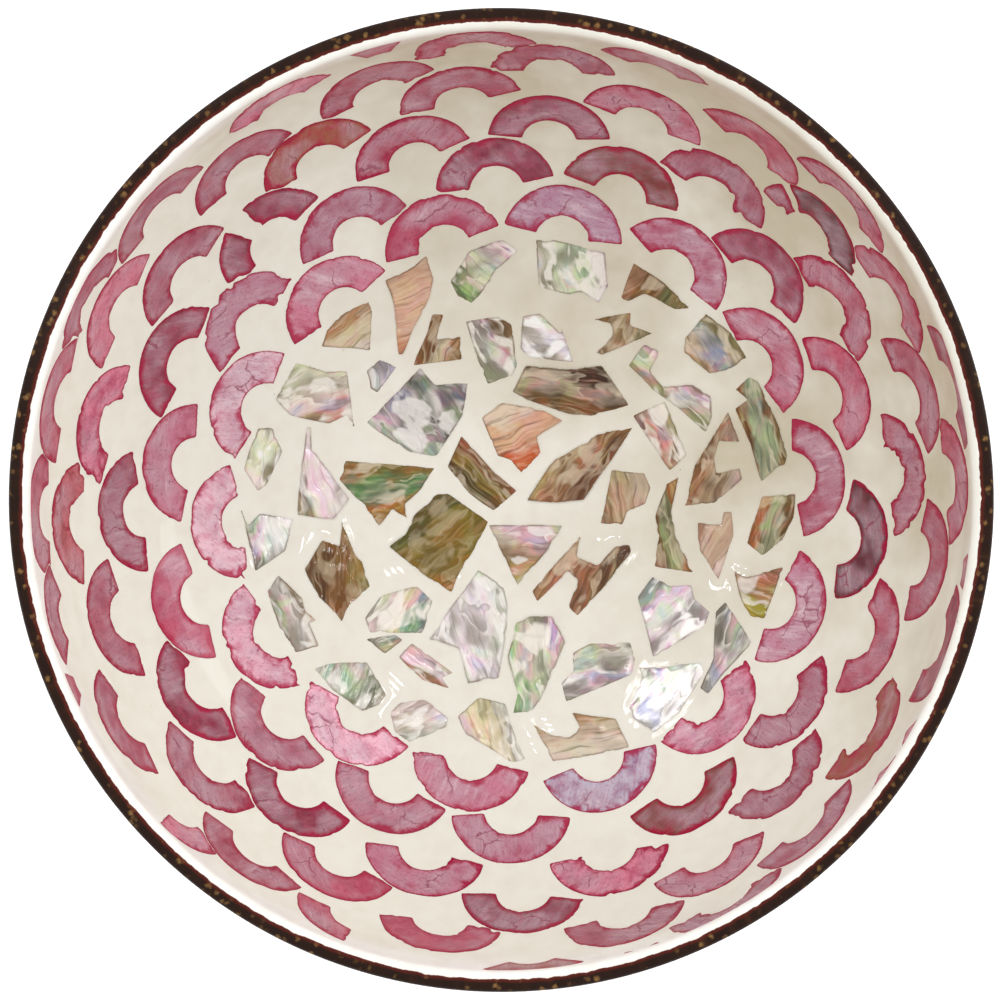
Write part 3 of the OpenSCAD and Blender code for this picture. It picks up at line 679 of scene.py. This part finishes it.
# The pearly layers shimmer from green to violet. Their folds, creases and glints are painted light:
# painted sheen and shade on the folds, painted shade and highlights on the creases, and painted
# highlights at the glints.
shimmer = ramp(
    effect, hue,
    (0.34, paint(144, 208, 188)), (0.42, paint(196, 224, 148)), (0.48, paint(214, 206, 192)),
    (0.56, paint(244, 162, 200)), (0.66, paint(160, 160, 224)),
)
# Painted sheen: the shimmer is laid on where the folds rise.
shine = sums(effect, "MULTIPLY", ramp(effect, fold, (0.42, 0.15), (0.56, 0.75)), given["Flash"])
colour = blend_in(effect, shine, colour, blend_in(effect, 0.85, colour, shimmer, "OVERLAY"))
# Painted shade in the folds' hollows.
shade = sums(effect, "MULTIPLY", ramp(effect, fold, (0.34, 0.9), (0.50, 0.0)), given["Flash"])
colour = blend_in(effect, shade, colour, paint(156, 148, 130), "MULTIPLY")
creased = sums(effect, "MULTIPLY", ramp(effect, wander, (0.42, 0.15), (0.60, 1.0)), given["Flash"])
# Painted shade along each crease's furrow.
furrow_shade = ramp(effect, wrinkle, (0.36, 0.0), (0.470, 0.7), (0.485, 0.0))
colour = blend_in(effect, sums(effect, "MULTIPLY", furrow_shade, creased), colour, deep)
# Painted highlight along each crease's crest, fading off to one side.
bright = blend_in(effect, given["Flash"], pale, paint(252, 250, 244))
crest_highlight = ramp(effect, wrinkle, (0.480, 0.0), (0.500, 0.9), (0.60, 0.0))
colour = blend_in(effect, sums(effect, "MULTIPLY", crest_highlight, creased), colour, bright)
# Painted highlights where the glints are, near white on the most flashing kinds.
spark_highlight = sums(effect, "MULTIPLY", ramp(effect, glint, (0.54, 0.0), (0.61, 0.97)), given["Flash"])
bright = blend_in(effect, given["Flash"], pale, paint(252, 251, 248))
colour = blend_in(effect, spark_highlight, colour, bright)
colour = blend_in(effect, given["Warmth"], colour, paint(229, 213, 178), "MULTIPLY")
veined = sums(effect, "MULTIPLY", ramp(effect, veins, (0.01, 0.7), (0.07, 0.0)), given["Veins"])
colour = blend_in(effect, veined, colour, deep)
rim_line = sums(effect, "SUBTRACT", given["Edge"], sums(effect, "MULTIPLY", glint, 0.3))
edged = sums(
    effect, "MULTIPLY",
    ramp(effect, sums(effect, "ADD", rim_line, 0.12), (0.02, 0.9), (0.30, 0.0)),
    ramp(effect, wander, (0.36, 1.0), (0.58, 0.25)),
)
colour = blend_in(effect, edged, colour, blend_in(effect, 0.5, deep, paint(120, 82, 36)))
effect.links.new(colour, out["Color"])
effect.links.new(sums(effect, "MULTIPLY_ADD", wander, 0.3, 0.14), out["Roughness"])
effect.links.new(sums(effect, "MULTIPLY_ADD", given["Flash"], 0.25, 0.05), out["Metallic"])
relief = sums(effect, "MULTIPLY_ADD", thin_layers, 0.2, fold)
effect.links.new(sums(effect, "MULTIPLY_ADD", wrinkle, 0.5, relief), out["Height"])
abalone_nacre = effect


def abalone_shell(slot, bands, flash, veins, warmth):
    """The finish of one kind of abalone, with how far, out of 1, it shows each of its traits."""
    finish, tree, shader = lacquered(slot)
    look = add_node(
        tree, "Group",
        {
            "Grain": marked(tree, "grain", "Vector"),
            "Across": marked(tree, "across", "Fac"),
            "Edge": marked(tree, "edge_mm", "Fac"),
            "Tone": marked(tree, "tone_a", "Color"),
            "Second Tone": marked(tree, "tone_b", "Color"),
            "Third Tone": marked(tree, "tone_c", "Color"),
            "Bands": bands, "Flash": flash, "Veins": veins, "Warmth": warmth,
        },
        node_tree=abalone_nacre,
    )
    height = look.outputs["Height"]
    relief = add_node(tree, "Bump", {"Height": height, "Strength": 0.7, "Distance": 0.6 * MM})
    film = add_node(tree, "Bump", {"Height": height, "Strength": 0.6, "Distance": 0.4 * MM})
    tree.links.new(film.outputs[0], shader.inputs["Coat Normal"])
    tree.links.new(look.outputs["Color"], shader.inputs["Base Color"])
    tree.links.new(look.outputs["Roughness"], shader.inputs["Roughness"])
    tree.links.new(look.outputs["Metallic"], shader.inputs["Metallic"])
    tree.links.new(relief.outputs[0], shader.inputs["Normal"])
    return finish


# How banded, flashing, veined and warm in tone each kind is. Flashing sets the painted sheen, shade
# and highlights, and some metallic gloss.
KINDS = {
    "silver": (0.5, 0.8, 0.15, 0.1), "pearl": (0.6, 0.9, 0.2, 0.3),
    "white_pearl": (0.5, 1.0, 0.1, 0.05), "lilac": (0.6, 0.75, 0.1, 0.0),
    "peach": (1.0, 0.25, 0.1, 0.35), "tan": (1.0, 0.3, 0.1, 0.3),
    "bronze": (1.0, 0.6, 0.1, 0.75), "olive": (0.5, 0.45, 0.2, 0.85),
    "teal": (0.6, 0.7, 0.3, 0.7), "gold": (0.8, 0.7, 0.2, 0.0),
}
shell_finish = {kind: abalone_shell("abalone_" + kind, *traits) for kind, traits in KINDS.items()}
# Each fragment's name and kind, the way its layers run in degrees, and its three tones.
FRAGMENTS = (
    ("peach_shard", "peach", 22, (228, 186, 162), (208, 166, 142), (210, 140, 104)),
    ("tan_quarter", "tan", 40, (216, 200, 168), (178, 138, 92), (230, 215, 205)),
    ("pale_boot", "pearl", 135, (216, 216, 202), (150, 178, 128), (214, 196, 204)),
    ("brown_edged_pearl", "bronze", 65, (206, 194, 182), (144, 94, 52), (178, 142, 96)),
    ("green_violet_pearl", "pearl", 130, (196, 192, 194), (200, 216, 190), (128, 106, 70)),
    ("small_lilac", "lilac", 110, (194, 190, 200), (186, 176, 166), (202, 196, 212)),
    ("bright_pearl", "pearl", 15, (228, 222, 212), (214, 224, 194), (172, 146, 122)),
    ("silver_shield", "silver", 135, (136, 136, 134), (176, 173, 176), (110, 112, 108)),
    ("white_oval", "white_pearl", 80, (236, 230, 212), (224, 220, 198), (214, 208, 186)),
    ("pink_spear", "lilac", 110, (230, 212, 214), (156, 128, 118), (240, 228, 228)),
    ("teal_gold", "teal", 5, (96, 140, 104), (140, 122, 60), (176, 116, 44)),
    ("large_olive", "olive", 40, (140, 124, 36), (94, 94, 30), (168, 120, 44)),
    ("brown_gold_stripe", "bronze", 135, (146, 112, 48), (98, 70, 28), (150, 92, 60)),
    ("orange_striped", "peach", 25, (228, 178, 148), (232, 212, 194), (212, 98, 48)),
    ("pale_square", "pearl", 100, (206, 222, 200), (212, 216, 198), (218, 192, 218)),
    ("brown_green_shoe", "bronze", 50, (142, 100, 50), (186, 146, 116), (126, 132, 80)),
    ("ribbed_white", "white_pearl", -5, (226, 222, 216), (210, 200, 196), (236, 228, 222)),
    ("star", "bronze", 60, (172, 146, 116), (140, 108, 68), (128, 140, 102)),
    ("blue_kite", "teal", 130, (164, 178, 200), (184, 160, 134), (160, 150, 108)),
    ("curved_neck", "pearl", 140, (202, 202, 182), (166, 166, 132), (220, 192, 200)),
    ("brown_boat", "bronze", -5, (168, 158, 150), (74, 46, 24), (124, 94, 46)),
    ("bronze_leaf", "bronze", 50, (160, 118, 82), (180, 148, 112), (128, 84, 54)),
    ("pink_green_slant", "pearl", 120, (192, 162, 142), (168, 134, 110), (194, 190, 138)),
    ("brown_crescent", "bronze", 70, (172, 148, 128), (152, 116, 76), (190, 176, 180)),
    ("striped_bracket", "bronze", 100, (168, 190, 172), (142, 100, 52), (124, 98, 56)),
    ("tan_tab", "tan", 100, (184, 160, 126), (160, 130, 92), (200, 180, 160)),
    ("thin_stalk", "bronze", 100, (158, 164, 136), (116, 80, 36), (168, 108, 48)),
    ("brown_green_stripe", "bronze", 72, (172, 188, 162), (166, 114, 64), (118, 94, 46)),
    ("pink_tan_wedge", "peach", 60, (204, 174, 154), (176, 136, 112), (226, 202, 196)),
    ("yellow_brown_triangle", "gold", -20, (172, 132, 80), (158, 112, 76), (176, 166, 48)),
    ("lilac_tan_triangle", "lilac", 0, (184, 154, 130), (206, 186, 178), (166, 142, 88)),
    ("wishbone", "bronze", 65, (158, 112, 80), (188, 140, 116), (108, 74, 46)),
    ("silver_white_shield", "white_pearl", 45, (214, 212, 216), (162, 162, 162), (222, 206, 216)),
    ("grey_bent_strip", "silver", 70, (174, 176, 166), (152, 154, 142), (196, 190, 194)),
    ("grey_rectangle", "silver", 10, (192, 190, 186), (184, 174, 164), (150, 150, 146)),
    ("bright_block", "white_pearl", 50, (214, 216, 218), (132, 134, 132), (236, 236, 238)),
    ("tan_anvil", "tan", 10, (208, 188, 168), (182, 150, 110), (222, 210, 196)),
    ("green_flag", "pearl", 100, (198, 206, 188), (166, 206, 162), (206, 182, 192)),
    ("large_lilac_slab", "lilac", 110, (228, 220, 222), (240, 234, 234), (224, 230, 214)),
    ("pale_peach_block", "pearl", 60, (222, 204, 190), (206, 200, 200), (126, 156, 146)),
    ("teal_sliver", "teal", 30, (132, 162, 148), (104, 146, 132), (176, 174, 164)),
    ("brown_point", "lilac", 145, (226, 214, 212), (166, 132, 98), (194, 176, 160)),
    ("green_grey_shell", "silver", 70, (168, 178, 158), (186, 190, 180), (142, 150, 126)),
    ("pale_blob", "lilac", 20, (242, 230, 218), (242, 218, 216), (220, 222, 208)),
    ("yellow_spade", "gold", 100, (226, 216, 174), (206, 198, 186), (236, 236, 224)),
    ("gold_boomerang", "silver", 110, (206, 202, 192), (142, 136, 122), (162, 142, 92)),
    ("olive_flame", "olive", 95, (134, 90, 28), (104, 68, 22), (140, 130, 62)),
    ("silver_wedge", "silver", 100, (222, 222, 224), (140, 138, 128), (236, 235, 235)),
)
for number, (name, kind, turn, *tones) in enumerate(FRAGMENTS):
    dice, seed, most_tilt = random.Random(500 + number), 200 + number, 0.012
    plates = []
    for plate, place in finished_faces("abalone_" + name):
        edge_mm = cut_by_hand(plate, seed, soft=1, chips=0.45, fine=0.10, step=grid_mm * 0.8)
        tilt = (dice.uniform(-most_tilt, most_tilt), dice.uniform(-most_tilt, most_tilt))
        grain = (math.atan2(place[1].y, place[1].x) - math.radians(turn), seed)
        set_in_wall(
            plate, place, edge_mm, climb=0.09, proud=0.035, flat_share=0.3,
            tilt=tilt, grain=grain, tones=[paint(*t) for t in tones],
        )
        plates.append(plate)
    put_in_place(
        gather(plates), "shell_" + name, shell_finish[kind], "abalone_" + kind, "abalone_" + name,
        sharp=35,
    )

# The ground is cream lacquer, poured and brushed in many coats around the plates and rubbed flush
# with them, then sealed under a clear gloss coat. The gloss has slow brushed waves and a few specks
# of dust under it. The cream turns darker and yellower towards one side, and near the rim on the
# other side it is painted whiter, as a painted sheen.
floor_steps, steps_around = ((120, 500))
ground = bmesh.new()
pole = ground.verts.new((0, 0, glue["floor_at"].z - glue["floor_r"]))
edge = turn_edge(ground, pole, glue["floor_at"], glue["join"], steps=10)
edge = turn_edge(ground, edge, glue["side_at"], math.pi / 2 - glue["join"], steps=14)
under_lip_at = Vector((mouth_r + lining_t, 0, rim_z - lining_t))
edge = turn_edge(ground, edge, under_lip_at, math.pi / 2, steps=5)
down_side = inner["join"] - math.pi / 2 + math.asin(lining_t / side_inner_r)
edge = turn_edge(ground, edge, inner["side_at"], down_side, steps=34)
turn_edge(ground, edge, inner["floor_at"], -inner["join"], steps=floor_steps)
lathe(ground, steps_around)
spots = np.array([v.co for v in ground.verts])
found, ways = near_wall(inner, spots)
depth = np.einsum("ij,ij->i", found - spots, ways)
shore = kdtree.KDTree(len(shores))
for k, (spot, _) in enumerate(shores):
    shore.insert(spot, k)
shore.balance()
# Against each plate the lacquer rises in a small hollow curve, and the waves stay on its face.
shore_width, face_depth = 0.9 * MM, 0.1 * MM
waves = lacquer_waves(spots)
for k, spot in enumerate(spots):
    _, nearest, away = shore.find(spot)
    waves[k] += shores[nearest][1] * math.exp(-away / shore_width)
waves *= depth < face_depth
for v, spot in zip(ground.verts, spots + ways * waves[:, None]):
    v.co = spot

cream, tree, shader = lacquered("cream_lacquer")
per_mm = 1 / MM
place = stretched(tree, add_node(tree, "TexCoord").outputs["Object"], per_mm, per_mm, per_mm)
xyz = add_node(tree, "SeparateXYZ", {0: place}).outputs
# The cream is darker and yellower towards one side, in clouds.
side = sums(tree, "MULTIPLY_ADD", sums(tree, "ADD", xyz[0], xyz[1]), 0.006, 0.5)
cloudy = clouds(tree, place, 0.05, 4, 0.55)[0]
darker_yellower_side = ramp(tree, sums(tree, "MULTIPLY", side, cloudy), (0.25, 0.0), (0.52, 0.9))
colour = blend_in(tree, darker_yellower_side, paint(242, 241, 229), paint(202, 193, 166))
# Near the rim, most on the side away from the darker one, the cream is painted whiter: a painted
# sheen.
near_rim = sums(tree, "MULTIPLY_ADD", cloudy, 6.0, sums(tree, "SUBTRACT", xyz[2], rim_z / MM))
near_rim = sums(tree, "MULTIPLY_ADD", side, -4.2, sums(tree, "ADD", near_rim, 0.8))
rim_sheen = ramp(tree, sums(tree, "MULTIPLY_ADD", near_rim, 0.1, 0.6), (0.30, 0.0), (0.75, 0.9))
colour = blend_in(tree, rim_sheen, colour, paint(252, 251, 247))
dull = ramp(tree, clouds(tree, place, 0.35, 4)[0], (0.40, 0.0), (0.70, 0.25))
colour = blend_in(tree, dull, colour, paint(224, 215, 197))
dust = ramp(tree, clouds(tree, place, 0.9, 2, 0.7)[0], (0.77, 0.0), (0.79, 0.7))
colour = blend_in(tree, dust, colour, paint(150, 118, 92))
tree.links.new(colour, shader.inputs["Base Color"])
tree.links.new(ramp(tree, cloudy, (0.3, 0.55), (0.7, 0.70)), shader.inputs["Roughness"])
brushed = clouds(tree, stretched(tree, place, 0.5, 1.1, 0.8), 0.9, 3, 0.5)[0]
relief = add_node(tree, "Bump", {"Height": brushed, "Strength": 0.15, "Distance": 0.03 * MM})
tree.links.new(relief.outputs[0], shader.inputs["Normal"])
put_in_place(ground, "cream_ground", cream, "cream_lacquer", "lacquer_ground", sharp=40)

# The bowl stands on a plain white table of 6 m and is seen from above, in a bright room whose
# windows show as highlights in the lacquer. The table and the room look white, also in a gloss.
floor_mesh = bmesh.new()
bmesh.ops.create_grid(floor_mesh, x_segments=1, y_segments=1, size=3)
sheet = bpy.data.meshes.new("table_top")
floor_mesh.to_mesh(sheet)
floor_mesh.free()
table_top = bpy.data.objects.new("table_top", sheet)
bpy.context.scene.collection.objects.link(table_top)
white = bpy.data.materials.new("table_white")
white.use_nodes = True
tree = white.node_tree
shader = tree.nodes["Principled BSDF"]
table_cloud = clouds(tree, add_node(tree, "TexCoord").outputs["Object"], 20, 2)[0]
table_colour = ramp(tree, table_cloud, (0.3, paint(246, 246, 246)), (0.7, paint(250, 250, 250)))
tree.links.new(table_colour, shader.inputs["Base Color"])
shader.inputs["Roughness"].default_value = 0.7
sight = add_node(tree, "LightPath").outputs
seen = sums(tree, "MAXIMUM", sight["Is Glossy Ray"], sight["Is Transmission Ray"])
seen = sums(tree, "MAXIMUM", sight["Is Camera Ray"], seen)
shader.inputs["Emission Color"].default_value = (1, 1, 1, 1)
tree.links.new(sums(tree, "MULTIPLY", seen, 0.45), shader.inputs["Emission Strength"])
sheet.materials.append(white)

world = bpy.data.worlds.new("room")
bpy.context.scene.world = world
world.use_nodes = True
tree = world.node_tree
air = tree.nodes["Background"]
sight = add_node(tree, "LightPath").outputs
tree.links.new(sums(tree, "MULTIPLY_ADD", sight["Is Camera Ray"], 0.05, 0.95), air.inputs["Strength"])
air.inputs["Color"].default_value = (1, 1, 1, 1)


def lamp(name, azimuth, elevation, away, width, height, power):
    """A flat lamp that faces the bowl's mouth. Angles are in degrees, sizes in metres."""
    light = bpy.data.lights.new(name, "AREA")
    light.shape = "RECTANGLE"
    light.size, light.size_y = width, height
    light.energy = power
    hung = bpy.data.objects.new(name, light)
    bpy.context.scene.collection.objects.link(hung)
    a, e = math.radians(azimuth), math.radians(elevation)
    aim = Vector((math.cos(a) * math.cos(e), math.sin(a) * math.cos(e), math.sin(e)))
    hung.location = Vector((0, 0, rim_z)) + away * aim
    hung.rotation_euler = aim.to_track_quat("Z", "Y").to_euler()


# Each window's azimuth, elevation and width. It has three panes, one above the other.
WINDOWS = (
    (130, 45, 0.10), (58, 49, 0.06), (12, 54, 0.05), (162, 44, 0.03), (99, 45, 0.03),
    (162, 68, 0.02), (32, 68, 0.02),
)
pane_height, degrees_apart, power_per_width = 0.014, 2.4, 2.0
for n, (azimuth, elevation, width) in enumerate(WINDOWS):
    for pane in range(3):
        raised = elevation + degrees_apart * (pane - 1)
        power = power_per_width * width
        lamp(f"pane_{n}_{pane}", azimuth, raised, 1.0, width, pane_height, power)
lamp("side_window", azimuth=22, elevation=14, away=1.3, width=0.9, height=0.35, power=2.5)

camera = bpy.data.cameras.new("camera")
camera.sensor_width = 36
camera.lens = 80.2
eye = bpy.data.objects.new("camera", camera)
bpy.context.scene.collection.objects.link(eye)
eye_over_rim, aim_off_axis = 304 * MM, 0.65 * MM
eye.location = (3.4 * MM, 13.5 * MM, rim_z + eye_over_rim)
back = (eye.location - Vector((0, aim_off_axis, rim_z))).normalized()
right = Vector((0, 1, 0)).cross(back).normalized()
eye.rotation_euler = Matrix((right, back.cross(right), back)).transposed().to_euler()
bpy.context.scene.camera = eye
bpy.context.scene.view_settings.view_transform = "Standard"
